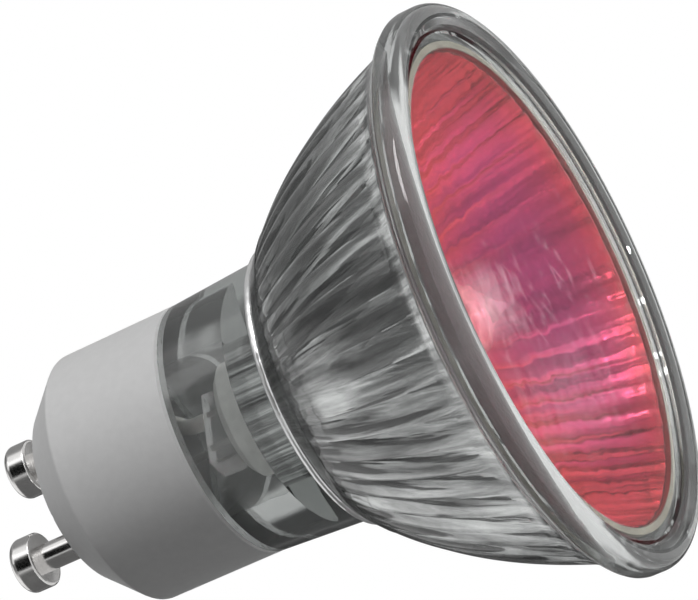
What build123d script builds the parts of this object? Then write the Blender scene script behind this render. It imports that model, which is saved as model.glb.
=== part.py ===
from math import asin, cos, hypot, pi, sin, sqrt
import os

from build123d import *

# A halogen reflector bulb that stands on its front rim, with its contact pins up.
# Millimetres. z is 0 at the rim's crest and grows towards the pins; the pins lie along X.

# Rim of the reflector: a crest, a rounded lip, a straight land and a flange that runs back to the bowl
rim_radius = 25.5
rim_wall = 2.15
crest_inset = 1.3
crest_width = 0.6
crest_slope_depth = 0.4
lip_depth = 1.2
lip_bow = 0.3
land_length = 1.0
flange_length = 2.7
flange_step = 2.17
flange_hip_inset = 1.05
flange_hip_length = 1.1

# Bowl: outside and inside are parts of two ellipsoids with one centre, this far in front of the crest
centre_distance = 14.96
outer_half_length = 42.45
side_wall = 2.4
back_wall = 2.1

# Lengthwise flutes pressed into the bowl, outside and inside, and the smooth band behind them
flute_count = 52
flute_depth = 0.34
inner_flute_depth = 0.16
flute_start_depth = 0.04
flute_stations = 6
flute_fade = 0.5
section_step = 0.06
smooth_band = 1.8
pole_points = 4

# Bead round the bowl's end, neck, and the spigot that goes into the cap
bead_overhang = 0.35
bead_sink = 0.2
bead_thickness = 0.95
neck_taper = 0.6
neck_length = 9.9
spigot_length = 5.0
spigot_wall = 2.4
web_thickness = 2.23
throat_clearance = 0.37

# Front glass and the adhesive bead behind it
glass_thickness = 2.0
glass_recess = 0.6
glass_edge = 0.25
glass_clearance = 0.25
adhesive_height = 0.5
adhesive_width = 0.6
adhesive_setback = 0.1

# Quartz capsule: a tip, a dome, a round body, a shoulder and a flat seal
capsule_radius = 3.3
capsule_wall = 0.9
capsule_gap = 3.8
tip_length = 1.3
tip_end_radius = 0.3
tip_foot_radius = 1.4
tip_hollow = 0.07
shoulder_length = 3.4
shoulder_middle = 1.87
shoulder_flare = 0.3
shoulder_roundness = 0.4
cavity_tip_radius = 0.6
seal_lead_in = 0.57
pinch_flare = 0.6
pinch_thickness = 2.6
pinch_length = 8.8
pinch_bulge = 0.06

# Filament, leads and foils
coil_radius = 0.8
coil_wire_radius = 0.13
coil_pitch = 0.62
coil_front_gap = 3.7
coil_back_gap = 1.2
lead_spacing = 3.5
inner_lead_radius = 0.2
inner_lead_bend = 0.5
lead_dome_gap = 2.1
jog_gap = 1.17
jog_rise = 0.3
jog_bend = 0.17
foil_width = 2.4
foil_thickness = 0.1
foil_length = 5.0
foil_inset = 1.4
weld_length = 1.2
outer_lead_radius = 0.32
outer_lead_bend = 2.0
lead_rise = 2.2
lead_spread_length = 4.0
sleeve_wall = 0.4
sleeve_gap = 0.4

# Fuse in the right-hand lead
fuse_wire_radius = 0.14
fuse_sleeve_wall = 0.45
fuse_overlap = 1.0

# Cement round the capsule and round the spigot
collar_overlap = 1.0
collar_length = 3.0
collar_edge = 0.75
throat_cement_setback = 0.6
cap_cement_gap = 0.4
cap_cement_setback = 0.3

# Ceramic cap
cap_height = 15.05
cap_wall = 1.7
chamber_wall = 3.1
chamber_clearance = 1.3
face_margin = 0.8
bevel_height = 3.6
cap_edge = 0.35
cap_back_edge = 0.3
end_wall = 2.65

# Contact pins
pin_spacing = 10.0
pin_head_radius = 2.5
pin_head_length = 2.35
pin_stand_out = 7.15
pin_shank_radius = 1.25
pin_hole_clearance = 0.05
pin_tip_edge = 0.7
pin_back_edge = 0.25
pin_collar_radius = 2.1
pin_collar_length = 0.7
pin_foot_radius = 1.7
pin_foot_length = 0.25
pin_crimp_depth = 5.0

# How far a cutting solid reaches past what it cuts, and how close an edge lies to the height it is picked by
overcut = 1.0
pick_range = 0.02


def bowl_radius(z, half_length, half_width):
    return half_width * sqrt(1 - ((z + centre_distance) / half_length) ** 2)


def bowl_depth(radius, half_length, half_width):
    return half_length * sqrt(1 - (radius / half_width) ** 2) - centre_distance


# Radii and places that follow from the sizes above, from the pins to the cap, the neck and the bowl
pin_x = pin_spacing / 2
chamber_radius = pin_x + pin_collar_radius + chamber_clearance
cap_face_radius = pin_x + pin_head_radius + face_margin
cap_radius = chamber_radius + chamber_wall
cap_bore_radius = cap_radius - cap_wall
spigot_radius = cap_bore_radius - cap_cement_gap
neck_bore_radius = spigot_radius - spigot_wall
neck_start_radius = cap_radius + neck_taper
bead_ring_radius = neck_start_radius + bead_overhang

recess_radius = rim_radius - rim_wall
glass_radius = recess_radius - glass_clearance
glass_back = glass_recess + glass_thickness
ledge_z = glass_back + adhesive_height
land_end = lip_depth + land_length
flange_back = land_end + flange_length
bowl_root_radius = rim_radius - flange_step

outer_half_width = bowl_root_radius / sqrt(1 - ((flange_back + centre_distance) / outer_half_length) ** 2)
inner_half_length = outer_half_length - back_wall
inner_half_width = outer_half_width - side_wall

pinch_width = 2 * capsule_radius + pinch_flare
throat_radius = hypot(pinch_width, pinch_thickness) / 2 + throat_clearance
collar_radius = throat_radius + collar_overlap
throat_start = bowl_depth(throat_radius, inner_half_length, inner_half_width)
web_back = throat_start + web_thickness
bead_z = bowl_depth(bead_ring_radius + bead_sink, outer_half_length, outer_half_width)
flute_end = bead_z - smooth_band
neck_end = bead_z + neck_length
spigot_end = neck_end + spigot_length
cap_end = neck_end + cap_height
chamber_end = cap_end - end_wall
pin_tip = cap_end + pin_stand_out
pin_head_back = pin_tip - pin_head_length
pin_inner_end = chamber_end - pin_collar_length
crimp_end = pin_inner_end + pin_crimp_depth

tip_start = glass_back + capsule_gap
dome_top = tip_start + tip_length
dome_centre = dome_top + capsule_radius
shoulder_end = throat_start - seal_lead_in
body_end = shoulder_end - shoulder_length
pinch_end = shoulder_end + pinch_length
coil_start = dome_top + coil_front_gap
coil_turns = int((body_end - coil_back_gap - coil_start) / coil_pitch)
coil_end = coil_start + coil_turns * coil_pitch
lead_x = lead_spacing / 2
foil_start = shoulder_end + foil_inset
foil_end = foil_start + foil_length
fuse_start = pinch_end + lead_rise + lead_spread_length + fuse_overlap


def outer_radius(z):
    return bowl_radius(z, outer_half_length, outer_half_width)


def inner_radius(z):
    return bowl_radius(z, inner_half_length, inner_half_width)


def point(radius, z):
    # A place in the plane of a turned profile.
    return (radius, 0, z)


def line(start, end):
    return Line(point(*start), point(*end))


def bowed(start, end, bow):
    # An arc of a turned profile whose middle stands off the straight line by bow, to the right of its way.
    along_r = end[0] - start[0]
    along_z = end[1] - start[1]
    length = hypot(along_r, along_z)
    middle_r = (start[0] + end[0]) / 2 + bow * along_z / length
    middle_z = (start[1] + end[1]) / 2 - bow * along_r / length
    return ThreePointArc(point(*start), point(middle_r, middle_z), point(*end))


def turned(*edges):
    # A solid of revolution about Z from the edges of half its section.
    return revolve(make_face(Wire(list(edges))), Axis.Z, 360)


def turned_polygon(*corners):
    return revolve(make_face(Polyline(*[point(*c) for c in corners], close=True)), Axis.Z, 360)


def cylinder(radius, low, high, x=0.0):
    return Pos(x, 0, low) * Cylinder(radius, high - low, align=(Align.CENTER, Align.CENTER, Align.MIN))


def edges_at(solid, z):
    return solid.edges().filter_by_position(Axis.Z, z - pick_range, z + pick_range)


def fluted_section(z, radius, depth):
    # One closed outline at height z: an outward arc for each flute, with a groove between two.
    arcs = []
    step = 2 * pi / flute_count
    groove = radius - depth
    for i in range(flute_count):
        start, middle, end = i * step, (i + 0.5) * step, (i + 1) * step
        arcs.append(
            ThreePointArc(
                (groove * cos(start), groove * sin(start), z),
                (radius * cos(middle), radius * sin(middle), z),
                (groove * cos(end), groove * sin(end), z),
            )
        )
    return Face(Wire(arcs))


def fluted_body(low, high, radius_at, depth):
    # Flutes that fade out at both ends of the stretch from low to high.
    sections = []
    for i in range(flute_stations + 1):
        share = i / flute_stations
        z = low + (high - low) * share
        fade = sin(pi * share) ** flute_fade if 0 < i < flute_stations else 0.0
        here = flute_start_depth + (depth - flute_start_depth) * fade
        sections.append(fluted_section(z, radius_at(z) - section_step, here))
    return loft(sections)


def rim_blank():
    # The rim in front of the bowl, still filled; its flange ends on the bowl with the bowl's own slope.
    crest_out = rim_radius - crest_inset + crest_width / 2
    root_slope = -((outer_half_width / outer_half_length) ** 2) * (flange_back + centre_distance) / bowl_root_radius
    flange = Spline(
        point(rim_radius, land_end),
        point(rim_radius - flange_hip_inset, land_end + flange_hip_length),
        point(bowl_root_radius, flange_back),
        tangents=[(0, 0, 1), (root_slope, 0, 1)],
    )
    return turned(
        line((0, 0), (crest_out, 0)),
        bowed((crest_out, 0), (rim_radius, lip_depth), lip_bow),
        line((rim_radius, lip_depth), (rim_radius, land_end)),
        flange,
        line((bowl_root_radius, flange_back), (0, flange_back)),
        line((0, flange_back), (0, 0)),
    )


def neck_blank():
    # The smooth end of the bowl, the neck and the spigot, still filled.
    middle = (flute_end + bead_z) / 2
    smooth = ThreePointArc(
        point(outer_radius(flute_end), flute_end),
        point(outer_radius(middle), middle),
        point(outer_radius(bead_z), bead_z),
    )
    return turned(
        line((0, flute_end), (outer_radius(flute_end), flute_end)),
        smooth,
        line((outer_radius(bead_z), bead_z), (neck_start_radius, bead_z)),
        line((neck_start_radius, bead_z), (cap_radius, neck_end)),
        line((cap_radius, neck_end), (spigot_radius, neck_end)),
        line((spigot_radius, neck_end), (spigot_radius, spigot_end)),
        line((spigot_radius, spigot_end), (0, spigot_end)),
        line((0, spigot_end), (0, flute_end)),
    )


def front_recess():
    # The room of the front glass, with a slope that opens it up to the crest.
    crest_in = rim_radius - crest_inset - crest_width / 2
    return turned_polygon(
        (0, -crest_slope_depth),
        (2 * crest_in - recess_radius, -crest_slope_depth),
        (recess_radius, crest_slope_depth),
        (recess_radius, ledge_z),
        (0, ledge_z),
    )


def pole_cavity():
    # The smooth bottom of the inner bowl, down to the throat.
    places = []
    for i in range(pole_points):
        z = flute_end + (throat_start - flute_end) * i / pole_points
        places.append(point(inner_radius(z) - 2 * section_step, z))
    places.append(point(throat_radius, throat_start))
    return turned(
        Line(point(0, flute_end), places[0]),
        Spline(*places),
        line((throat_radius, throat_start), (0, throat_start)),
        line((0, throat_start), (0, flute_end)),
    )


def make_reflector():
    bead_section = Pos(bead_ring_radius, 0, bead_z) * (Plane.XZ * Circle(bead_thickness / 2))
    glass = rim_blank() + fluted_body(flange_back, flute_end, outer_radius, flute_depth)
    glass += neck_blank()
    glass += revolve(bead_section, Axis.Z, 360)
    glass -= front_recess()
    glass -= fluted_body(glass_back, flute_end, inner_radius, inner_flute_depth)
    glass -= pole_cavity()
    glass -= cylinder(throat_radius, flute_end, web_back + overcut)
    glass -= cylinder(neck_bore_radius, web_back, spigot_end + overcut)
    return glass


def make_front_glass():
    disc = cylinder(glass_radius, glass_recess, glass_back)
    return chamfer(disc.edges(), glass_edge)


def make_front_adhesive():
    inner = inner_radius(ledge_z) + adhesive_setback
    return cylinder(inner + adhesive_width, glass_back, ledge_z) - cylinder(inner, glass_back, ledge_z)


def pinch_section(z, width, thickness, bulge):
    # Four arcs that turn from a circle into the flat outline of the pressed seal.
    x = width / 2
    y = thickness / 2
    return Face(
        Wire(
            [
                ThreePointArc((x, -y, z), (x + bulge, 0, z), (x, y, z)),
                ThreePointArc((x, y, z), (0, y + bulge, z), (-x, y, z)),
                ThreePointArc((-x, y, z), (-x - bulge, 0, z), (-x, -y, z)),
                ThreePointArc((-x, -y, z), (0, -y - bulge, z), (x, -y, z)),
            ]
        )
    )


def envelope_tube():
    # Tip, dome and round body, still filled.
    foot_z = dome_centre - sqrt(capsule_radius**2 - tip_foot_radius**2)
    half_way = (asin(tip_foot_radius / capsule_radius) + pi / 2) / 2
    dome = ThreePointArc(
        point(tip_foot_radius, foot_z),
        point(capsule_radius * sin(half_way), dome_centre - capsule_radius * cos(half_way)),
        point(capsule_radius, dome_centre),
    )
    return turned(
        line((0, tip_start), (tip_end_radius, tip_start)),
        bowed((tip_end_radius, tip_start), (tip_foot_radius, foot_z), -tip_hollow),
        dome,
        line((capsule_radius, dome_centre), (capsule_radius, body_end)),
        line((capsule_radius, body_end), (0, body_end)),
        line((0, body_end), (0, tip_start)),
    )


def envelope_blank():
    square = capsule_radius * sqrt(2)
    bulge = capsule_radius - square / 2
    middle_width = (square + pinch_width) / 2 + shoulder_flare
    middle_thickness = (square + pinch_thickness) / 2
    round_end = pinch_section(body_end, square, square, bulge)
    middle = pinch_section(
        body_end + shoulder_middle, middle_width, middle_thickness, bulge * shoulder_roundness
    )
    flat_end = pinch_section(shoulder_end, pinch_width, pinch_thickness, pinch_bulge)
    return envelope_tube() + loft([round_end, middle, flat_end]) + extrude(flat_end, pinch_length)


def envelope_cavity():
    inside = capsule_radius - capsule_wall
    cavity_end = body_end + shoulder_middle
    dome = ThreePointArc(
        point(0, dome_centre - inside),
        point(inside * sin(pi / 4), dome_centre - inside * cos(pi / 4)),
        point(inside, dome_centre),
    )
    return turned(
        dome,
        line((inside, dome_centre), (inside, body_end)),
        line((inside, body_end), (cavity_tip_radius, cavity_end)),
        line((cavity_tip_radius, cavity_end), (0, cavity_end)),
        line((0, cavity_end), (0, dome_centre - inside)),
    )


def wire_along(corners, radius, bend):
    # A round wire along straight runs that are joined by arcs.
    path = FilletPolyline(*corners, radius=bend)
    section = Plane(origin=path @ 0, z_dir=path % 0) * Circle(radius)
    return sweep(section, path=path)


def make_filament():
    coil = Helix(coil_pitch, coil_turns * coil_pitch, coil_radius, center=(0, 0, coil_start))
    section = Plane(origin=coil @ 0, z_dir=coil % 0) * Circle(coil_wire_radius)
    return sweep(section, path=coil, is_frenet=True)


def left_inner_lead():
    # It runs past the coil to the coil's far end.
    top = dome_top + lead_dome_gap
    root = foil_start + weld_length
    corners = [(-lead_x, 0, root), (-lead_x, 0, top), (coil_radius, 0, top), (coil_radius, 0, coil_start)]
    return wire_along(corners, inner_lead_radius, inner_lead_bend)


def right_inner_lead():
    jog_z = coil_end + jog_gap
    root = foil_start + weld_length
    corners = [
        (lead_x, 0, root),
        (lead_x, 0, jog_z),
        (coil_radius, 0, jog_z - jog_rise),
        (coil_radius, 0, coil_end),
    ]
    return wire_along(corners, inner_lead_radius, jog_bend)


def make_foil(side):
    middle = (foil_start + foil_end) / 2
    return Pos(side * lead_x, 0, middle) * Box(foil_width, foil_thickness, foil_length)


def outer_lead_way(side, start, end):
    # The way of an outer lead from the seal out to its pin.
    leave = pinch_end + lead_rise
    return [
        (side * lead_x, 0, start),
        (side * lead_x, 0, leave),
        (side * pin_x, 0, leave + lead_spread_length),
        (side * pin_x, 0, end),
    ]


def make_outer_lead(side, end, foil):
    way = outer_lead_way(side, foil_end - weld_length, end)
    return wire_along(way, outer_lead_radius, outer_lead_bend) - foil


def make_lead_sleeve(side, lead):
    way = outer_lead_way(side, pinch_end + sleeve_gap, pin_inner_end - sleeve_gap)
    return wire_along(way, outer_lead_radius + sleeve_wall, outer_lead_bend) - lead


def make_fuse_sleeve():
    tube = cylinder(outer_lead_radius + fuse_sleeve_wall, fuse_start, pin_inner_end, pin_x)
    return tube - cylinder(outer_lead_radius, fuse_start, pin_inner_end, pin_x)


def make_capsule_cement():
    plug = cylinder(throat_radius, throat_start + throat_cement_setback, web_back)
    collar = cylinder(collar_radius, web_back, web_back + collar_length)
    collar = chamfer(edges_at(collar, web_back + collar_length), collar_edge)
    return plug + collar - envelope_blank()


def make_ceramic_cap():
    shell = turned_polygon(
        (cap_bore_radius, neck_end),
        (cap_radius, neck_end),
        (cap_radius, cap_end - bevel_height),
        (cap_face_radius, cap_end),
        (0, cap_end),
        (0, chamber_end),
        (chamber_radius, chamber_end),
        (chamber_radius, spigot_end),
        (cap_bore_radius, spigot_end),
    )
    shell = fillet(edges_at(shell, cap_end - bevel_height) + edges_at(shell, cap_end), cap_edge)
    shell = chamfer(edges_at(shell, neck_end).sort_by(SortBy.RADIUS)[-1], cap_back_edge)
    for side in (-1, 1):
        shell -= cylinder(
            pin_shank_radius + pin_hole_clearance, chamber_end - overcut, cap_end + overcut, side * pin_x
        )
    return shell


def make_cap_cement():
    low = neck_end + cap_cement_setback
    high = spigot_end - cap_cement_setback
    return cylinder(cap_bore_radius, low, high) - cylinder(spigot_radius, low, high)


def make_contact_pin(side, wire_radius):
    # A headed pin: a collar inside the end wall, a foot outside it, and the round head at its tip.
    head = cylinder(pin_head_radius, pin_head_back, pin_tip)
    head = fillet(edges_at(head, pin_tip), pin_tip_edge)
    head = fillet(edges_at(head, pin_head_back), pin_back_edge)
    pin = head + cylinder(pin_shank_radius, pin_inner_end, pin_tip - pin_head_length / 2)
    pin += cylinder(pin_collar_radius, pin_inner_end, chamber_end)
    pin += cylinder(pin_foot_radius, cap_end, cap_end + pin_foot_length)
    pin -= cylinder(wire_radius, pin_inner_end, crimp_end)
    return Pos(side * pin_x, 0, 0) * pin


def make_parts():
    filament = make_filament()
    foils = {side: make_foil(side) for side in (-1, 1)}
    inner_leads = {-1: left_inner_lead(), 1: right_inner_lead()}
    inner_leads = {side: lead - filament - foils[side] for side, lead in inner_leads.items()}

    fuse_wire = cylinder(fuse_wire_radius, fuse_start, crimp_end, pin_x)
    left_lead = make_outer_lead(-1, crimp_end, foils[-1])
    right_lead = make_outer_lead(1, fuse_start + fuse_overlap, foils[1]) - fuse_wire

    envelope = envelope_blank() - envelope_cavity()
    for solid in (foils[-1], foils[1], inner_leads[-1], inner_leads[1], left_lead, right_lead):
        envelope -= solid

    return {
        "reflector": make_reflector(),
        "front_glass": make_front_glass(),
        "front_adhesive": make_front_adhesive(),
        "capsule_envelope": envelope,
        "filament": filament,
        "inner_lead_left": inner_leads[-1],
        "inner_lead_right": inner_leads[1],
        "foil_left": foils[-1],
        "foil_right": foils[1],
        "outer_lead_left": left_lead,
        "outer_lead_right": right_lead,
        "lead_sleeve": make_lead_sleeve(-1, left_lead),
        "fuse_wire": fuse_wire,
        "fuse_sleeve": make_fuse_sleeve(),
        "capsule_cement": make_capsule_cement(),
        "cap_cement": make_cap_cement(),
        "ceramic_cap": make_ceramic_cap(),
        "contact_pin_left": make_contact_pin(-1, outer_lead_radius),
        "contact_pin_right": make_contact_pin(1, fuse_wire_radius),
    }


os.makedirs("parts", exist_ok=True)
for node, solid in make_parts().items():
    export_step(solid, f"parts/{node}.step")
    print(f"{node}: {solid.volume:.2f} mm3, {len(solid.solids())} solid")
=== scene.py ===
import math

import bpy
from mathutils import Matrix, Vector


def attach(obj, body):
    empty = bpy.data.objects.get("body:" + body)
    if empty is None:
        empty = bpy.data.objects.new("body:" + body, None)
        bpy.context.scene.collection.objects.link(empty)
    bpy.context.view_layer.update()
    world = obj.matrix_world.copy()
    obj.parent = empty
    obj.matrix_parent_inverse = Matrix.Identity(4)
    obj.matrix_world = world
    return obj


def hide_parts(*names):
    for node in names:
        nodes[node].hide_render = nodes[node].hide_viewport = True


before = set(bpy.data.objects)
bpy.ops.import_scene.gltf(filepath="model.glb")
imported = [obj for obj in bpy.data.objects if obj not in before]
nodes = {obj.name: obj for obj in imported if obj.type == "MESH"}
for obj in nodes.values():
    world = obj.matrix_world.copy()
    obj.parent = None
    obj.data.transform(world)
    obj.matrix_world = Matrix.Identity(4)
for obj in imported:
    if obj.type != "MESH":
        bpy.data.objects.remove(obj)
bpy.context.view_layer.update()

MM = 0.001

# Sizes of the lamp in millimetres. z is 0 at the rim's crest and grows towards the pins.
RIM_RADIUS = 25.49
CREST_IN, CREST_OUT, CREST_SLOPE = 23.9, 24.5, 0.4
LIP_DEPTH, LIP_BOW = 1.2, 0.3
LAND_END, FLANGE_BACK = 2.2, 4.9
HIP_INSET, HIP_RISE = 1.05, 1.1
RECESS_RADIUS, GLASS_RADIUS, GLASS_EDGE = 23.35, 23.1, 0.25
GLASS_FRONT, GLASS_BACK, LEDGE = 0.6, 2.59, 3.11
COATED_RADIUS = 21.45

# The bowl's skins are half ellipses: centre on the axis, half length and half width.
BOWL_CENTRE = -14.96
OUTER_LENGTH, OUTER_WIDTH = 42.45, 26.397
INNER_LENGTH, INNER_WIDTH = 40.35, 23.997
FLUTES, FLUTE_DEPTH, INNER_FLUTE_DEPTH, FLUTE_START_DEPTH = 52, 0.34, 0.16, 0.04
FLUTE_END, FLUTE_STEP, LEDGE_FLUTE_DEPTH = 20.498, 0.06, 0.12

BEAD_Z, BEAD_RADIUS, BEAD_THICKNESS = 22.298, 12.45, 0.95
NECK_START_RADIUS, CAP_RADIUS, NECK_END = 12.1, 11.5, 32.188
NECK_HIDDEN = 0.07  # share of the neck inside the bead
SPIGOT_RADIUS, SPIGOT_END, BORE_RADIUS = 9.39, 37.188, 7.01
THROAT_RADIUS, THROAT_START, WEB_BACK = 4.208, 24.768, 26.988

CAPSULE_RADIUS, CAPSULE_WALL = 3.3, 0.9
TIP_START, TIP_RADIUS, TIP_FOOT_RADIUS, TIP_HOLLOW = 6.4, 0.3, 1.4, 0.07
DOME_CENTRE, BODY_END, SHOULDER_MIDDLE = 11.0, 20.798, 1.87
SHOULDER_END, PINCH_END = 24.198, 32.998
SHOULDER_FLARE = 0.3
SHOULDER_BULGE = 0.4  # share of the round body's bulge
PINCH_WIDTH, PINCH_THICKNESS, PINCH_BULGE = 7.2, 2.6, 0.06
CAVITY_START_ANGLE = 0.02  # radians from the dome's tip
CAVITY_END_RADIUS = 0.6

COIL_RADIUS, COIL_START, COIL_PITCH, COIL_TURNS = 0.8, 11.4, 0.62, 13
FINE_COIL_RADIUS, FINE_COIL_TURNS, COIL_POINTS = 0.1, 22.0, 3000
WIRE_RADIUS, WIRE_SIDES = 0.03, 6

# What a corner of a turned section is finished with, and how near to it a face has to be. The pale
# glass is a painted highlight on the bead.
GLASS, COATED, PALE_GLASS = 0.0, 1.0, -1.0
FINISH_MARGIN = 0.01

SHELL_SEGMENTS, DISC_SEGMENTS = 624, 256
MERGE_DISTANCE = 1e-7  # metres
CREASE = math.radians(35)


# Node trees


def link(tree, source, target):
    tree.links.new(source, target)


def add_node(tree, kind, values=None, **settings):
    node = tree.nodes.new(kind)
    for name, value in settings.items():
        setattr(node, name, value)
    for key, value in (values or {}).items():
        socket = node.inputs[key]
        if isinstance(value, bpy.types.NodeSocket):
            link(tree, value, socket)
        else:
            socket.default_value = value
    return node


def math_node(tree, operation, *values):
    sockets = dict(enumerate(values))
    return add_node(tree, "ShaderNodeMath", sockets, operation=operation).outputs[0]


def geometry_tree(name, inputs):
    """A tree that takes geometry and the named inputs, and gives geometry."""
    tree = bpy.data.node_groups.new(name, "GeometryNodeTree")
    interface = tree.interface
    interface.new_socket("Geometry", in_out="INPUT", socket_type="NodeSocketGeometry")
    for label, kind in inputs.items():
        interface.new_socket(label, in_out="INPUT", socket_type="NodeSocket" + kind)
    interface.new_socket("Geometry", in_out="OUTPUT", socket_type="NodeSocketGeometry")
    given = tree.nodes.new("NodeGroupInput")
    result = tree.nodes.new("NodeGroupOutput")
    return tree, given.outputs, result.inputs[0]


def named_value(tree, name):
    values = {"Name": name}
    node = add_node(tree, "GeometryNodeInputNamedAttribute", values, data_type="FLOAT")
    return node.outputs["Attribute"]


def sampled(tree, geometry, value, index, kind="FLOAT"):
    values = {"Geometry": geometry, "Value": value, "Index": index}
    node = add_node(tree, "GeometryNodeSampleIndex", values, data_type=kind)
    return node.outputs["Value"]


def placed_round(tree, radius, angle, rise):
    """The place at a radius, an angle round Z and a height."""
    values = {
        "X": math_node(tree, "MULTIPLY", radius, math_node(tree, "COSINE", angle)),
        "Y": math_node(tree, "MULTIPLY", radius, math_node(tree, "SINE", angle)),
        "Z": rise,
    }
    return add_node(tree, "ShaderNodeCombineXYZ", values).outputs[0]


def moved(tree, geometry, place):
    values = {"Geometry": geometry, "Position": place}
    return add_node(tree, "GeometryNodeSetPosition", values).outputs[0]


def realized(tree, geometry):
    return add_node(tree, "GeometryNodeRealizeInstances", {"Geometry": geometry}).outputs[0]


def with_material(tree, geometry, finish, chosen=None):
    values = {"Geometry": geometry, "Material": finish}
    if chosen is not None:
        values["Selection"] = chosen
    return add_node(tree, "GeometryNodeSetMaterial", values).outputs[0]


def turning_tree():
    """Turns a half section about Z, and presses flutes into the skin.

    The section's flute value is the depth of the grooves in metres, and its finish value
    says what the face is finished with: glass, coated, or pale glass, which on the bead is a
    painted highlight.
    """
    tree, given, result = geometry_tree(
        "turned_piece",
        {
            "Segments": "Int",
            "Flutes": "Int",
            "Plain Finish": "Material",
            "Coated Finish": "Material",
            "Pale Glass Finish": "Material",
        },
    )
    section = given["Geometry"]
    counted = add_node(tree, "GeometryNodeAttributeDomainSize", {"Geometry": section})
    points = counted.outputs["Point Count"]
    rows = math_node(tree, "ADD", given["Segments"], 1)
    grid = add_node(tree, "GeometryNodeMeshGrid", {"Vertices X": rows, "Vertices Y": points})

    index = add_node(tree, "GeometryNodeInputIndex").outputs[0]
    place = math_node(tree, "MODULO", index, points)
    row = math_node(tree, "FLOOR", math_node(tree, "DIVIDE", index, points))
    turn = math_node(tree, "DIVIDE", row, given["Segments"])
    angle = math_node(tree, "MULTIPLY", turn, 2 * math.pi)

    position = add_node(tree, "GeometryNodeInputPosition").outputs[0]
    corner = sampled(tree, section, position, place, "FLOAT_VECTOR")
    flute = sampled(tree, section, named_value(tree, "flute"), place)
    finish = sampled(tree, section, named_value(tree, "finish"), place)

    # An outward arc for each flute: the skin sinks with the square of the way from its middle.
    share = math_node(tree, "FRACT", math_node(tree, "MULTIPLY", turn, given["Flutes"]))
    across = math_node(tree, "MULTIPLY_ADD", share, 2.0, -1.0)
    sink = math_node(tree, "MULTIPLY", math_node(tree, "MULTIPLY", across, across), flute)
    parts = add_node(tree, "ShaderNodeSeparateXYZ", {0: corner}).outputs
    radius = math_node(tree, "SUBTRACT", parts["X"], sink)
    turned = placed_round(tree, radius, angle, parts["Z"])

    values = {"Geometry": grid.outputs["Mesh"], "Name": "finish", "Value": finish}
    kept = add_node(tree, "GeometryNodeStoreNamedAttribute", values, data_type="FLOAT")
    skin = moved(tree, kept.outputs[0], turned)
    values = {"Geometry": skin, "Distance": MERGE_DISTANCE}
    closed = add_node(tree, "GeometryNodeMergeByDistance", values).outputs[0]
    smooth = add_node(tree, "GeometryNodeSetShadeSmooth", {"Geometry": closed}).outputs[0]
    done = with_material(tree, realized(tree, smooth), given["Plain Finish"])

    values = {"Value": named_value(tree, "finish")}
    of_face = add_node(
        tree, "GeometryNodeFieldOnDomain", values, data_type="FLOAT", domain="FACE"
    ).outputs[0]
    tests = (
        ("Coated Finish", "GREATER_THAN", COATED - FINISH_MARGIN),
        ("Pale Glass Finish", "LESS_THAN", PALE_GLASS + FINISH_MARGIN),
    )
    for label, test, limit in tests:
        values = {0: of_face, 1: limit}
        chosen = add_node(tree, "FunctionNodeCompare", values, operation=test).outputs[0]
        done = with_material(tree, done, given[label], chosen)
    link(tree, done, result)
    return tree


def coil_tree():
    """A fine wire coiled round a coil, along Z."""
    tree, given, result = geometry_tree(
        "coiled_coil",
        {
            "Points": "Int",
            "Radius": "Float",
            "Pitch": "Float",
            "Turns": "Float",
            "Start": "Float",
            "Fine Radius": "Float",
            "Fine Turns": "Float",
            "Wire Radius": "Float",
            "Finish": "Material",
        },
    )
    line = add_node(tree, "GeometryNodeMeshLine", {"Count": given["Points"]}).outputs[0]
    index = add_node(tree, "GeometryNodeInputIndex").outputs[0]
    last = math_node(tree, "SUBTRACT", given["Points"], 1)
    share = math_node(tree, "DIVIDE", index, last)
    turns = math_node(tree, "MULTIPLY", share, given["Turns"])
    angle = math_node(tree, "MULTIPLY", turns, 2 * math.pi)
    fine = math_node(tree, "MULTIPLY", angle, given["Fine Turns"])
    out = math_node(tree, "COSINE", fine)
    radius = math_node(tree, "MULTIPLY_ADD", out, given["Fine Radius"], given["Radius"])
    rise = math_node(tree, "MULTIPLY_ADD", turns, given["Pitch"], given["Start"])
    up = math_node(tree, "SINE", fine)
    height = math_node(tree, "MULTIPLY_ADD", up, given["Fine Radius"], rise)
    placed = moved(tree, line, placed_round(tree, radius, angle, height))

    path = add_node(tree, "GeometryNodeMeshToCurve", {"Mesh": placed}).outputs[0]
    values = {"Resolution": WIRE_SIDES, "Radius": given["Wire Radius"]}
    ring = add_node(tree, "GeometryNodeCurvePrimitiveCircle", values).outputs[0]
    values = {"Curve": path, "Profile Curve": ring, "Fill Caps": True}
    wire = add_node(tree, "GeometryNodeCurveToMesh", values).outputs[0]
    link(tree, with_material(tree, realized(tree, wire), given["Finish"]), result)
    return tree


def grown(carrier, tree, values):
    """The plain mesh that a geometry tree makes of a carrier object, which is then removed."""
    modifier = carrier.modifiers.new("Growth", "NODES")
    modifier.node_group = tree
    for item in tree.interface.items_tree:
        if item.item_type == "SOCKET" and item.in_out == "INPUT" and item.name in values:
            modifier[item.identifier] = values[item.name]
    evaluated = carrier.evaluated_get(bpy.context.evaluated_depsgraph_get())
    mesh = bpy.data.meshes.new_from_object(evaluated)
    bpy.data.objects.remove(carrier)
    return mesh


def link_object(name, mesh):
    piece = bpy.data.objects.new(name, mesh)
    bpy.context.scene.collection.objects.link(piece)
    return piece


def finish_piece(piece, node):
    """Sets the piece on the lamp's one body, in place of the CAD node it stands for."""
    piece.data.set_sharp_from_angle(angle=CREASE)
    for name in ("finish", "flute"):
        if name in piece.data.attributes:
            piece.data.attributes.remove(piece.data.attributes[name])
    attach(piece, "root")
    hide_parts(node)


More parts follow.
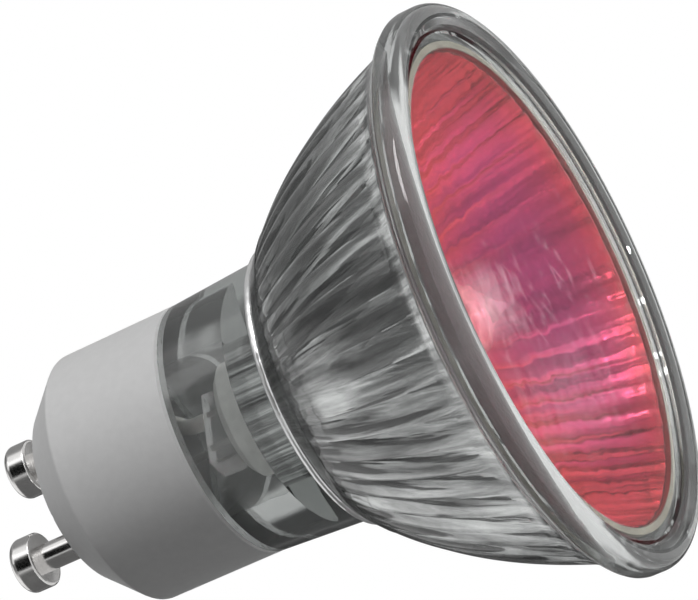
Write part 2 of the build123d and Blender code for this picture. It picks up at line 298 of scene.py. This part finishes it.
def turned_piece(name, section, plain, coated, pale_glass, segments):
    """A piece turned from a list of (radius, z, flute depth, finish) corners in millimetres."""
    mesh = bpy.data.meshes.new(name + "_section")
    corners = [(r * MM, 0, z * MM) for r, z, _, _ in section]
    mesh.from_pydata(corners, [(i, i + 1) for i in range(len(corners) - 1)], [])
    for label, column, scale in (("flute", 2, MM), ("finish", 3, 1.0)):
        attribute = mesh.attributes.new(label, "FLOAT", "POINT")
        attribute.data.foreach_set("value", [c[column] * scale for c in section])
    carrier = link_object(name + "_section", mesh)
    values = {
        "Segments": segments,
        "Flutes": FLUTES,
        "Plain Finish": plain,
        "Coated Finish": coated,
        "Pale Glass Finish": pale_glass,
    }
    return link_object(name, grown(carrier, TURNING, values))


# Sections


def outer_radius(z):
    return OUTER_WIDTH * math.sqrt(1 - ((z - BOWL_CENTRE) / OUTER_LENGTH) ** 2)


def inner_radius(z):
    return INNER_WIDTH * math.sqrt(1 - ((z - BOWL_CENTRE) / INNER_LENGTH) ** 2)


def neck_radius(z):
    share = (z - BEAD_Z) / (NECK_END - BEAD_Z)
    return NECK_START_RADIUS + (CAP_RADIUS - NECK_START_RADIUS) * share


def steps(start, end, count):
    """Values from start to end, in as many equal steps as count says."""
    return [start + (end - start) * i / count for i in range(count + 1)]


def smooth_corners(finish, *places):
    """Corners without flutes."""
    return [(r, z, 0.0, finish) for r, z in places]


def bowed(start, end, bow, count):
    """Places on an arc whose middle stands off the straight line by bow, to the right."""
    chord = math.dist(start, end)
    radius = (chord**2 / 4 + bow**2) / (2 * bow)
    half = math.asin(chord / 2 / radius)
    ahead = ((end[0] - start[0]) / chord, (end[1] - start[1]) / chord)
    aside = (ahead[1], -ahead[0])
    places = []
    for angle in steps(-half, half, count):
        along = chord / 2 + radius * math.sin(angle)
        off = radius * (math.cos(angle) - math.cos(half))
        places.append(tuple(start[i] + ahead[i] * along + aside[i] * off for i in (0, 1)))
    return places


def eased(start, end, start_way, end_way, count):
    """Places on a curve from start to end that leaves and arrives along the given ways."""
    places = []
    for t in steps(0.0, 1.0, count):
        a, b = 2 * t**3 - 3 * t**2 + 1, t**3 - 2 * t**2 + t
        c, d = -2 * t**3 + 3 * t**2, t**3 - t**2
        sides = zip(start, start_way, end, end_way)
        places.append(tuple(a * s + b * sw + c * e + d * ew for s, sw, e, ew in sides))
    return places


def fluted(radius_at, low, high, depth, finish, count):
    """The crest line of the flutes and their depth, which fades at both ends."""
    corners = []
    for z in steps(low, high, count):
        share = (z - low) / (high - low)
        fade = math.sin(math.pi * min(max(share, 0.0), 1.0)) ** 0.5
        groove = FLUTE_START_DEPTH + (depth - FLUTE_START_DEPTH) * fade
        corners.append((radius_at(z) - FLUTE_STEP, z, groove, finish))
    return corners


def bead_places(count):
    """The bead's free surface, from where it leaves the bowl to where it meets the neck."""
    places = []
    for degree in range(-90, 181):
        angle = math.radians(degree)
        r = BEAD_RADIUS + BEAD_THICKNESS / 2 * math.cos(angle)
        z = BEAD_Z + BEAD_THICKNESS / 2 * math.sin(angle)
        skin = outer_radius(z) if z < BEAD_Z else neck_radius(z)
        if r > skin:
            places.append((r, z))
    return [places[round(i)] for i in steps(0, len(places) - 1, count)]


def neck_places(count):
    """The straight neck, from the bead to the cap."""
    start = BEAD_Z + (NECK_END - BEAD_Z) * NECK_HIDDEN
    return [(neck_radius(z), z) for z in steps(start, NECK_END, count)]


def rim_corners():
    """The rim's outside, from its crest over the lip and the land to the flange's back."""
    hip = (RIM_RADIUS - HIP_INSET, LAND_END + HIP_RISE)
    root = (outer_radius(FLANGE_BACK), FLANGE_BACK)
    land_way, hip_way, root_way = (0.0, 1.3), (-1.1, 1.0), (-0.65, 1.9)
    lip = bowed((CREST_OUT, 0.0), (RIM_RADIUS, LIP_DEPTH), LIP_BOW, 8)
    land = eased((RIM_RADIUS, LAND_END), hip, land_way, hip_way, 6)
    back = eased(hip, root, hip_way, root_way, 6)[1:]
    return smooth_corners(GLASS, (CREST_IN, 0.0), *lip, *land, *back)


def reflector_section():
    """The whole outline: rim, outer skin, bead, neck, spigot, bore, throat and inner skin."""
    bead, neck = bead_places(14), neck_places(5)
    corners = rim_corners()
    corners += fluted(outer_radius, FLANGE_BACK, FLUTE_END, FLUTE_DEPTH, GLASS, 34)
    band = [(outer_radius(z), z) for z in steps(FLUTE_END, bead[0][1], 5)]
    corners += smooth_corners(GLASS, *band)
    # The bead and the start of the neck in pale glass: a painted highlight, the band of light
    # along the bead
    corners += smooth_corners(PALE_GLASS, *bead, neck[0])
    corners += smooth_corners(GLASS, *neck[1:-1])
    spigot = [(SPIGOT_RADIUS, NECK_END), (SPIGOT_RADIUS, SPIGOT_END)]
    corners += smooth_corners(PALE_GLASS, neck[-1], *spigot)
    corners += smooth_corners(GLASS, (BORE_RADIUS, SPIGOT_END), (BORE_RADIUS, WEB_BACK))
    throat = [(THROAT_RADIUS, WEB_BACK), (THROAT_RADIUS, THROAT_START)]
    pole = [(inner_radius(z) - 2 * FLUTE_STEP, z) for z in steps(FLUTE_END, THROAT_START, 10)[:-1]]
    corners += smooth_corners(COATED, *throat, *pole[::-1])
    inside = fluted(inner_radius, GLASS_BACK, FLUTE_END, INNER_FLUTE_DEPTH, COATED, 36)
    corners += [c for c in inside[:0:-1] if c[1] >= LEDGE]
    corners += [(inner_radius(LEDGE) - FLUTE_STEP, LEDGE, LEDGE_FLUTE_DEPTH, COATED)]
    recess = [(RECESS_RADIUS, LEDGE), (RECESS_RADIUS, CREST_SLOPE), (CREST_IN, 0.0)]
    return corners + smooth_corners(GLASS, *recess)


def front_section():
    """The front glass: flat, with bevelled edges, and coated on its back."""
    edge_in = GLASS_RADIUS - GLASS_EDGE
    bare = [(0.0, GLASS_FRONT), (edge_in, GLASS_FRONT)]
    bare += [(GLASS_RADIUS, GLASS_FRONT + GLASS_EDGE), (GLASS_RADIUS, GLASS_BACK - GLASS_EDGE)]
    bare += [(edge_in, GLASS_BACK)]
    coated = [(COATED_RADIUS, GLASS_BACK), (0.0, GLASS_BACK)]
    return smooth_corners(GLASS, *bare) + smooth_corners(COATED, *coated)


# Materials

WHITE = (1.0, 1.0, 1.0, 1.0)
HAZE_SHADE, HAZE_GRAIN = 0.96, 900.0
WAVE_DEPTH, GRAIN_DEPTH = 0.0004, 0.00005  # metres


def material(name):
    made = bpy.data.materials.new(name)
    made.use_nodes = True
    return made, made.node_tree, shader_of(made)


def shader_of(made):
    return made.node_tree.nodes["Principled BSDF"]


def object_place(tree):
    return add_node(tree, "ShaderNodeTexCoord").outputs["Object"]


def distance_out(tree):
    """The distance from the row frame's origin."""
    values = {0: object_place(tree)}
    return add_node(tree, "ShaderNodeVectorMath", values, operation="LENGTH").outputs["Value"]


def noise(tree, vector, scale, detail=3.0, roughness=0.5):
    values = {"Vector": vector, "Scale": scale, "Detail": detail, "Roughness": roughness}
    return add_node(tree, "ShaderNodeTexNoise", values).outputs["Fac"]


def ramp(tree, value, *stops):
    node = add_node(tree, "ShaderNodeValToRGB", {"Fac": value})
    elements = node.color_ramp.elements
    while len(elements) < len(stops):
        elements.new(0.5)
    for element, (place, colour) in zip(elements, stops):
        element.position = place
        element.color = (*colour, 1.0)
    return node.outputs["Color"]


def grey(value):
    return (value, value, value)


def bump(tree, shader, height, strength, distance):
    values = {"Height": height, "Strength": strength, "Distance": distance}
    link(tree, add_node(tree, "ShaderNodeBump", values).outputs[0], shader.inputs["Normal"])


def lengthwise(tree, around, along):
    """Coordinates round the axis and along it, with no seam, for lengthwise streaks."""
    parts = add_node(tree, "ShaderNodeSeparateXYZ", {0: object_place(tree)}).outputs
    values = {"X": parts["X"], "Y": parts["Y"]}
    flat = add_node(tree, "ShaderNodeCombineXYZ", values).outputs[0]
    ring = add_node(tree, "ShaderNodeVectorMath", {0: flat}, operation="NORMALIZE").outputs[0]
    values = {0: ring, "Scale": around}
    wide = add_node(tree, "ShaderNodeVectorMath", values, operation="SCALE").outputs[0]
    values = {"Z": math_node(tree, "MULTIPLY", parts["Z"], along)}
    rise = add_node(tree, "ShaderNodeCombineXYZ", values).outputs[0]
    return add_node(tree, "ShaderNodeVectorMath", {0: wide, 1: rise}, operation="ADD").outputs[0]


def clear_glass(name, colour, index, waviness, clearness=1.0, roughness=0.0, wave_scale=260.0):
    """A glass with a slight haze and waves in its skin. Less clearness makes it milky."""
    made, tree, shader = material(name)
    shader.inputs["Base Color"].default_value = (*colour, 1.0)
    shader.inputs["Transmission Weight"].default_value = clearness
    shader.inputs["IOR"].default_value = index
    shader.inputs["Roughness"].default_value = roughness
    place = object_place(tree)
    cloudy = tuple(c * HAZE_SHADE for c in colour)
    haze = ramp(tree, noise(tree, place, HAZE_GRAIN), (0.3, cloudy), (0.7, colour))
    link(tree, haze, shader.inputs["Base Color"])
    bump(tree, shader, noise(tree, place, wave_scale, 1.0), waviness, WAVE_DEPTH)
    return made


def pressed_glass():
    """The bowl's glass, with the grey of its thickness."""
    made = clear_glass("pressed_glass", (0.96, 0.97, 0.965), 1.5, 0.12, 0.93)
    tree = made.node_tree
    values = {"Color": (0.345, 0.37, 0.36, 1.0), "Density": 100.0}
    body = add_node(tree, "ShaderNodeVolumeAbsorption", values)
    link(tree, body.outputs[0], tree.nodes["Material Output"].inputs["Volume"])
    return made


def pale_bead_glass():
    """A whitish, half-metallic glass for the bead and the spigot; on the bead it is a painted
    highlight, the band of light along its lip.
    """
    made = clear_glass("pale_bead_glass", grey(0.98), 1.5, 0.3, 0.05, 0.2, 900.0)
    shader_of(made).inputs["Metallic"].default_value = 0.6
    return made


def front_coating():
    """The red coating on the front glass. Its colour holds painted light: brighter and coral
    towards the edge, darker and more purple in the middle as a painted reflection.
    """
    made = clear_glass("front_red", (0.9, 0.1, 0.15), 1.5, 0.1, 0.985, 0.03)
    tree = made.node_tree
    share = math_node(tree, "DIVIDE", distance_out(tree), COATED_RADIUS * MM)
    # Painted light: a lifted coral edge, and a darker, more purple middle that stands in for a
    # reflection
    middle, between, edge = (0.52, 0.07, 0.23), (0.68, 0.085, 0.18), (1.0, 0.12, 0.13)
    painted_light_tint = ramp(tree, share, (0.2, middle), (0.65, between), (0.97, edge))
    link(tree, painted_light_tint, shader_of(made).inputs["Base Color"])
    return made


def bowl_coating():
    """The mirror coating, with painted reflections in its colour: light and dark lengthwise
    streaks, brighter inside the bowl and darker on the side seen through the glass.
    """
    made, tree, shader = material("bowl_coating")
    shader.inputs["Metallic"].default_value = 1.0
    streaks = noise(tree, lengthwise(tree, 13.0, 65.0), 1.0, 6.0, 0.66)
    # Painted reflections: one coating gets a bright streaked shade inside and a darker streaked
    # shade through the glass
    inside = ramp(tree, streaks, (0.34, grey(0.66)), (0.5, grey(0.93)), (0.66, grey(1.0)))
    outside = ramp(tree, streaks, (0.36, grey(0.08)), (0.5, grey(0.53)), (0.64, grey(1.0)))
    behind = add_node(tree, "ShaderNodeNewGeometry").outputs["Backfacing"]
    values = {0: behind, 6: inside, 7: outside}
    sides = add_node(tree, "ShaderNodeMix", values, data_type="RGBA").outputs[2]
    link(tree, sides, shader.inputs["Base Color"])
    patches = noise(tree, object_place(tree), 500.0)
    rough = math_node(tree, "MULTIPLY_ADD", patches, 0.1, 0.08)
    link(tree, rough, shader.inputs["Roughness"])
    bump(tree, shader, noise(tree, lengthwise(tree, 16.0, 70.0), 1.0), 0.4, 0.0003)
    return made


def plain_finish(name, colour, rough, metallic=0.0, grain=800.0, depth=0.15, spread=0.08):
    """A finish without transparency, with a grain in its colour, gloss and skin."""
    made, tree, shader = material(name)
    place = object_place(tree)
    shade = noise(tree, place, grain)
    dark = tuple(c * (1 - spread) for c in colour)
    light = tuple(min(1.0, c * (1 + spread)) for c in colour)
    link(tree, ramp(tree, shade, (0.3, dark), (0.7, light)), shader.inputs["Base Color"])
    shader.inputs["Metallic"].default_value = metallic
    gloss = math_node(tree, "MULTIPLY_ADD", shade, 0.1, rough)
    link(tree, gloss, shader.inputs["Roughness"])
    bump(tree, shader, noise(tree, place, grain * 2), depth, GRAIN_DEPTH)
    return made


TURNING = turning_tree()

glass_finish = pressed_glass()
pale_glass_finish = pale_bead_glass()
coating_finish = bowl_coating()
front_clear = clear_glass("front_clear", (0.95, 0.97, 0.96), 1.5, 0.05)
front_red = front_coating()
quartz_finish = clear_glass("quartz", grey(0.98), 1.46, 0.7, 0.8, 0.15, 600.0)
fuse_glass = clear_glass("fuse_glass", (0.95, 0.97, 0.97), 1.5, 0.1)
# The adhesive is darker than its own beige: painted shade, set against the strong front lamp
adhesive_finish = plain_finish("adhesive", (0.16, 0.148, 0.12), 0.5)
tungsten_finish = plain_finish("tungsten", (0.36, 0.35, 0.35), 0.35, 1.0)
lead_finish = plain_finish("lead_wire", (0.5, 0.49, 0.47), 0.3, 1.0)
foil_finish = plain_finish("foil", (0.42, 0.41, 0.4), 0.3, 1.0)
fibre_finish = plain_finish("glass_fibre", (0.85, 0.84, 0.8), 0.8, 0.0, 3000.0, 0.4)
fuse_wire_finish = plain_finish("fuse_wire", (0.66, 0.64, 0.6), 0.25, 1.0)
cement_finish = plain_finish("cement", (0.88, 0.87, 0.85), 0.85, 0.0, 1500.0, 0.5)
ceramic_finish = plain_finish("ceramic", grey(0.76), 0.55, 0.0, 1200.0, 0.06, 0.02)
pin_finish = plain_finish("plated_pin", (0.72, 0.71, 0.7), 0.12, 1.0, 700.0, 0.05, 0.05)

CAD_FINISHES = {
    "front_adhesive": adhesive_finish,
    "inner_lead_left": lead_finish,
    "inner_lead_right": lead_finish,
    "foil_left": foil_finish,
    "foil_right": foil_finish,
    "outer_lead_left": lead_finish,
    "outer_lead_right": lead_finish,
    "lead_sleeve": fibre_finish,
    "fuse_wire": fuse_wire_finish,
    "fuse_sleeve": fuse_glass,
    "capsule_cement": cement_finish,
    "cap_cement": cement_finish,
    "ceramic_cap": ceramic_finish,
    "contact_pin_left": pin_finish,
    "contact_pin_right": pin_finish,
}


# Pieces


def make_reflector():
    finishes = (glass_finish, coating_finish, pale_glass_finish)
    shell = turned_piece("reflector_shell", reflector_section(), *finishes, SHELL_SEGMENTS)
    finish_piece(shell, "reflector")


def make_front_glass():
    finishes = (front_clear, front_red, front_clear)
    disc = turned_piece("front_disc", front_section(), *finishes, DISC_SEGMENTS)
    disc.visible_shadow = False
    finish_piece(disc, "front_glass")


def pinch_ring(z, width, thickness, bulge, count=16):
    """One outline of the quartz envelope: four arcs between the corners of a rectangle."""
    x, y = width / 2, thickness / 2
    corners = [(x, -y), (x, y), (-x, y), (-x, -y), (x, -y)]
    places = []
    for start, end in zip(corners, corners[1:]):
        places += bowed(start, end, bulge, count)[:-1]
    return [(px, py, z) for px, py in places]


def mixed(a, b, share):
    return tuple(p + (q - p) * share for p, q in zip(a, b))


def square_in(radius):
    """The side of the square in a circle, and how far the circle's arcs stand off it."""
    side = radius * math.sqrt(2)
    return side, radius - side / 2


def round_ring(radius, z):
    side, bulge = square_in(radius)
    return pinch_ring(z, side, side, bulge)


def dome_ring(radius, angle):
    """A ring on the dome, at an angle from its tip."""
    return round_ring(radius * math.sin(angle), DOME_CENTRE - radius * math.cos(angle))


def envelope_rings():
    """The outside of the envelope: tip, dome, round body, shoulder and flat seal."""
    foot_z = DOME_CENTRE - math.sqrt(CAPSULE_RADIUS**2 - TIP_FOOT_RADIUS**2)
    tip = bowed((TIP_RADIUS, TIP_START), (TIP_FOOT_RADIUS, foot_z), -TIP_HOLLOW, 6)
    rings = [round_ring(r, z) for r, z in tip]
    start = math.asin(TIP_FOOT_RADIUS / CAPSULE_RADIUS)
    rings += [dome_ring(CAPSULE_RADIUS, angle) for angle in steps(start, math.pi / 2, 10)[1:]]
    side, bulge = square_in(CAPSULE_RADIUS)
    round_end = (BODY_END, side, side, bulge)
    middle_width = (side + PINCH_WIDTH) / 2 + SHOULDER_FLARE
    middle_thickness = (side + PINCH_THICKNESS) / 2
    middle_bulge = bulge * SHOULDER_BULGE
    middle = (BODY_END + SHOULDER_MIDDLE, middle_width, middle_thickness, middle_bulge)
    flat_end = (SHOULDER_END, PINCH_WIDTH, PINCH_THICKNESS, PINCH_BULGE)
    for t in steps(0.0, 1.0, 16):
        low, high = mixed(round_end, middle, t * 2), mixed(middle, flat_end, t * 2 - 1)
        rings.append(pinch_ring(*mixed(low, high, t)))
    rings.append(pinch_ring(PINCH_END, PINCH_WIDTH, PINCH_THICKNESS, PINCH_BULGE))
    return rings


def cavity_rings():
    """The room for the filament: a dome, and a cone that closes it below the seal."""
    inside = CAPSULE_RADIUS - CAPSULE_WALL
    rings = [dome_ring(inside, angle) for angle in steps(CAVITY_START_ANGLE, math.pi / 2, 10)]
    for t in steps(0.0, 1.0, 6):
        radius = inside + (CAVITY_END_RADIUS - inside) * t
        rings.append(round_ring(radius, BODY_END + SHOULDER_MIDDLE * t))
    return rings


def skin_of(rings, outward):
    """Faces of a closed skin over a row of equal rings, with both ends capped."""
    count = len(rings[0])
    places = [p for ring in rings for p in ring]
    faces = []
    for i in range(len(rings) - 1):
        for j in range(count):
            a, b = i * count + j, i * count + (j + 1) % count
            faces.append((a, b, b + count, a + count))
    faces.append(tuple(range(count))[::-1])
    faces.append(tuple(range((len(rings) - 1) * count, len(rings) * count)))
    if not outward:
        faces = [f[::-1] for f in faces]
    return places, faces


def make_capsule():
    outside, outer_faces = skin_of(envelope_rings(), True)
    inside, inner_faces = skin_of(cavity_rings(), False)
    shift = len(outside)
    faces = outer_faces + [tuple(i + shift for i in f) for f in inner_faces]
    mesh = bpy.data.meshes.new("quartz_envelope")
    mesh.from_pydata([(x * MM, y * MM, z * MM) for x, y, z in outside + inside], [], faces)
    mesh.shade_smooth()
    mesh.materials.append(quartz_finish)
    envelope = link_object("quartz_envelope", mesh)
    envelope.visible_shadow = False
    finish_piece(envelope, "capsule_envelope")


def make_filament():
    carrier = link_object("coil_carrier", bpy.data.meshes.new("coil_carrier"))
    values = {
        "Points": COIL_POINTS,
        "Radius": COIL_RADIUS * MM,
        "Pitch": COIL_PITCH * MM,
        "Turns": float(COIL_TURNS),
        "Start": COIL_START * MM,
        "Fine Radius": FINE_COIL_RADIUS * MM,
        "Fine Turns": FINE_COIL_TURNS,
        "Wire Radius": WIRE_RADIUS * MM,
        "Finish": tungsten_finish,
    }
    coil = link_object("coiled_filament", grown(carrier, coil_tree(), values))
    finish_piece(coil, "filament")


def dress_cad_nodes():
    for name, finish in CAD_FINISHES.items():
        mesh = nodes[name].data
        mesh.materials.clear()
        mesh.materials.append(finish)


# Camera

# The lamp's roll in the picture, its lean towards the camera and its spin about its own axis
ROLL, LEAN, SPIN = math.radians(24.58), math.radians(20.97), math.radians(40.8)
CAMERA_DISTANCE = 0.300
SENSOR_WIDTH, FOCAL_PIXELS, PHOTO_WIDTH = 36.0, 3627.6, 698
# A place on the lamp's axis, from the picture's middle, and how far ahead of it the crest is
AXIS_PLACE, CREST_AHEAD = Vector((16.92, 1.51, 0.0)), 0.4


def camera_axes():
    """The lamp's X, Y and Z as the camera sees them: x right, y up, z towards the camera."""
    flat = math.cos(LEAN)
    ahead = Vector((flat * math.cos(ROLL), flat * math.sin(ROLL), math.sin(LEAN)))
    up = DOWNWARD.cross(ahead)
    if up.z < 0:
        up = -up
    x = math.cos(SPIN) * DOWNWARD + math.sin(SPIN) * up
    z = -ahead
    return x, z.cross(x), z


# In the camera's own directions: across the lamp and down in the picture, the lamp's axes,
# and across the lamp towards the camera
DOWNWARD = Vector((math.sin(ROLL), -math.cos(ROLL), 0.0))
AXES = camera_axes()
FACING_CAMERA = (Vector((0.0, 0.0, 1.0)) - AXES[2] * AXES[2].z).normalized()
TURN = Matrix(AXES)
ORIGIN = AXIS_PLACE * MM - AXES[2] * CREST_AHEAD * MM


def from_camera(x, y, z):
    """A place given in the camera's own directions, in metres, as a place in the row frame."""
    return TURN @ (Vector((x, y, z)) - ORIGIN)


def make_camera():
    data = bpy.data.cameras.new("camera")
    data.sensor_width = SENSOR_WIDTH
    data.lens = SENSOR_WIDTH * FOCAL_PIXELS / PHOTO_WIDTH
    data.clip_start, data.clip_end = 0.01, 20.0
    camera = link_object("camera", data)
    stand = from_camera(0, 0, CAMERA_DISTANCE)
    camera.matrix_world = Matrix.Translation(stand) @ TURN.to_4x4()
    bpy.context.scene.camera = camera


# Lamps, cards, world and floor

LAMP_TARGET = Vector((0, 0, 0.02))
AMBIENT = 0.08
CARD_DISTANCE, CARD_GAP, CARD_ROWS = 0.5, 0.01, 16

# The floor's sizes in metres, and where it fades
FLOOR_HOLE, FLOOR_RADIUS, FLOOR_DROP, FLOOR_SIDES = 24.2 * MM, 0.45, 1e-5, 128
FLOOR_FADE_START, FLOOR_FADE_END = 0.08, 0.42
FLOOR_SHADE, FLOOR_GLOW = 0.7, 0.5

# Name, place in metres, width, power, seen through glass, seen in gloss
LAMPS = (
    ("key_lamp", from_camera(-0.28, 0.38, 0.24), 0.25, 1.4, False, True),
    ("side_lamp", from_camera(-0.5, 0.1, 0.05), 0.3, 0.15, False, True),
    ("front_lamp", from_camera(*(AXES[2] * -0.5)), 0.08, 1.9, True, True),
    ("back_lamp", Vector((-0.165, -0.353, 0.39)), 0.3, 1.1, False, False),
)

# Name, tilts and turns in degrees, shade, share of the width that fades, seen through glass.
# The first ones stand nearest to the lamp.
STUDIO_CARDS = (
    ("capsule_gloss_card", (67.9, 69.9), (176.9, 179.7), 1.2, 0.5, True),
    ("low_gloss_card", (68.3, 71.4), (173.2, 177.6), 0.4, 0.5, True),
    ("glint_card_high", (70.0, 72.4), (-25.5, -22.5), 60.0, 0.25, True),
    ("glint_card_mid", (70.0, 72.4), (-51.5, -48.5), 60.0, 0.25, True),
    ("glint_card_low", (70.0, 72.4), (-60.0, -57.0), 60.0, 0.25, True),
    ("front_gloss_card", (54, 84), (164, 196), 0.1, 0.25, True),
    ("pin_black_card", (88, 134), (-52, 10), 0.0, 0.1, False),
    ("pin_low_card", (88, 134), (4, 155), 0.14, 0.12, False),
    ("pin_top_card", (88, 134), (-190, -88), 0.3, 0.12, False),
    ("behind_card", (75, 150), (135, 225), 0.08, 0.15, True),
    ("neck_card", (60, 115), (-175, -95), 0.0, 0.15, True),
    ("bowl_card", (125, 175), (-180, 50), 0.16, 0.25, True),
    ("red_top_card", (58, 90), (50, 110), 1.6, 0.3, True),
    ("red_low_card", (50, 82), (-90, -40), 1.75, 0.3, True),
)

# A small card beside the pins, for the inner faces of their heads
PIN_CARD_DISTANCE, PIN_CARD_CENTRE = 0.11, Vector((0, 0, 0.052))
PIN_CARD = ("pin_foot_card", (61, 84), (164, 196), 0.03, 0.2, False)


def area_lamp(name, place, size, power, through_glass, in_gloss):
    data = bpy.data.lights.new(name, "AREA")
    data.shape = "DISK"
    data.size = size
    data.energy = power
    lamp = link_object(name, data)
    lamp.location = place
    lamp.rotation_mode = "QUATERNION"
    lamp.rotation_quaternion = (LAMP_TARGET - place).to_track_quat("-Z", "Y")
    lamp.visible_camera = False
    lamp.visible_transmission = through_glass
    lamp.visible_glossy = in_gloss


def seen_directly(tree):
    """1 for a ray that shows the background: from the camera, off a gloss, or through glass."""
    path = add_node(tree, "ShaderNodeLightPath").outputs
    shown = math_node(tree, "ADD", path["Is Camera Ray"], path["Is Glossy Ray"])
    shown = math_node(tree, "ADD", shown, path["Is Transmission Ray"])
    return math_node(tree, "MINIMUM", shown, 1.0)


def see_through(tree):
    return add_node(tree, "ShaderNodeBsdfTransparent").outputs[0]


def show_mixed(tree, share, first, second):
    """Gives the material's surface a mix of two shaders."""
    mix = add_node(tree, "ShaderNodeMixShader", {0: share, 1: first, 2: second})
    link(tree, mix.outputs[0], tree.nodes["Material Output"].inputs["Surface"])


def card_finish(name, shade):
    """A plain shade that fades out towards the card's edges, so its reflections are soft."""
    made, tree, _ = material(name)
    values = {"Color": WHITE, "Strength": shade}
    shown = add_node(tree, "ShaderNodeEmission", values).outputs[0]
    strength = add_node(tree, "ShaderNodeAttribute", attribute_name="strength").outputs["Fac"]
    show_mixed(tree, strength, see_through(tree), shown)
    return made


def card_way(tilt, turn):
    """The direction at a tilt from the lamp's front and a turn round it, downwards."""
    tilt, turn = math.radians(tilt), math.radians(turn)
    across = math.cos(turn) * FACING_CAMERA + math.sin(turn) * DOWNWARD
    return math.cos(tilt) * -AXES[2] + math.sin(tilt) * across


def studio_card(centre, distance, name, tilts, turns, shade, soft, through_glass):
    """A curved card of the studio, which only gloss and glass show.

    Its tilts are counted from the lamp's front, and its turns from the camera's side.
    """
    places, strengths, faces = [], [], []
    for i, tilt in enumerate(steps(*tilts, CARD_ROWS)):
        for j, turn in enumerate(steps(*turns, CARD_ROWS)):
            places.append(centre + TURN @ (card_way(tilt, turn) * distance))
            edge = min(i, CARD_ROWS - i, j, CARD_ROWS - j) / CARD_ROWS
            share = min(edge / soft, 1.0)
            strengths.append(share * share * (3 - 2 * share))
            if i < CARD_ROWS and j < CARD_ROWS:
                a = i * (CARD_ROWS + 1) + j
                faces.append((a, a + 1, a + CARD_ROWS + 2, a + CARD_ROWS + 1))
    mesh = bpy.data.meshes.new(name)
    mesh.from_pydata(places, [], faces)
    mesh.attributes.new("strength", "FLOAT", "POINT").data.foreach_set("value", strengths)
    mesh.materials.append(card_finish(name, shade))
    card = link_object(name, mesh)
    card.visible_camera = card.visible_diffuse = card.visible_shadow = False
    card.visible_transmission = through_glass


def make_cards():
    middle = from_camera(0, 0, 0)
    for order, card in enumerate(STUDIO_CARDS):
        studio_card(middle, CARD_DISTANCE + order * CARD_GAP, *card)
    studio_card(PIN_CARD_CENTRE, PIN_CARD_DISTANCE, *PIN_CARD)


def make_world():
    """A white background whose light on matt surfaces is weak."""
    world = bpy.data.worlds.new("studio")
    world.use_nodes = True
    tree = world.node_tree
    background = tree.nodes["Background"]
    background.inputs["Color"].default_value = WHITE
    strength = math_node(tree, "MULTIPLY_ADD", seen_directly(tree), 1.0 - AMBIENT, AMBIENT)
    link(tree, strength, background.inputs["Strength"])
    bpy.context.scene.world = world


def floor_material():
    """A pale floor that is seen from above only and fades into the white background."""
    made, tree, shader = material("pale_floor")
    shader.inputs["Base Color"].default_value = (*grey(FLOOR_SHADE), 1.0)
    shader.inputs["Roughness"].default_value = 0.8
    shader.inputs["Emission Color"].default_value = WHITE
    glow = math_node(tree, "MULTIPLY", seen_directly(tree), FLOOR_GLOW)
    link(tree, glow, shader.inputs["Emission Strength"])
    values = {
        "Value": distance_out(tree),
        "From Min": FLOOR_FADE_START,
        "From Max": FLOOR_FADE_END,
    }
    fade = add_node(tree, "ShaderNodeMapRange", values, interpolation_type="SMOOTHSTEP")
    behind = add_node(tree, "ShaderNodeNewGeometry").outputs["Backfacing"]
    gone = math_node(tree, "MAXIMUM", fade.outputs["Result"], behind)
    show_mixed(tree, gone, shader.outputs[0], see_through(tree))
    return made


def make_floor():
    """A flat ring that the rim's crest closes, so that light reaches the front glass."""
    places, faces = [], []
    for i in range(FLOOR_SIDES):
        angle = 2 * math.pi * i / FLOOR_SIDES
        for radius in (FLOOR_HOLE, FLOOR_RADIUS):
            places.append((radius * math.cos(angle), radius * math.sin(angle), -FLOOR_DROP))
        j = (i + 1) % FLOOR_SIDES
        faces.append((2 * i, 2 * i + 1, 2 * j + 1, 2 * j))
    mesh = bpy.data.meshes.new("floor")
    mesh.from_pydata(places, [], faces)
    mesh.materials.append(floor_material())
    floor = link_object("floor", mesh)
    floor.visible_shadow = False


make_reflector()
make_front_glass()
make_capsule()
make_filament()
dress_cad_nodes()
make_camera()
for lamp_sizes in LAMPS:
    area_lamp(*lamp_sizes)
make_cards()
make_world()
make_floor()
bpy.context.scene.view_settings.view_transform = "Standard"
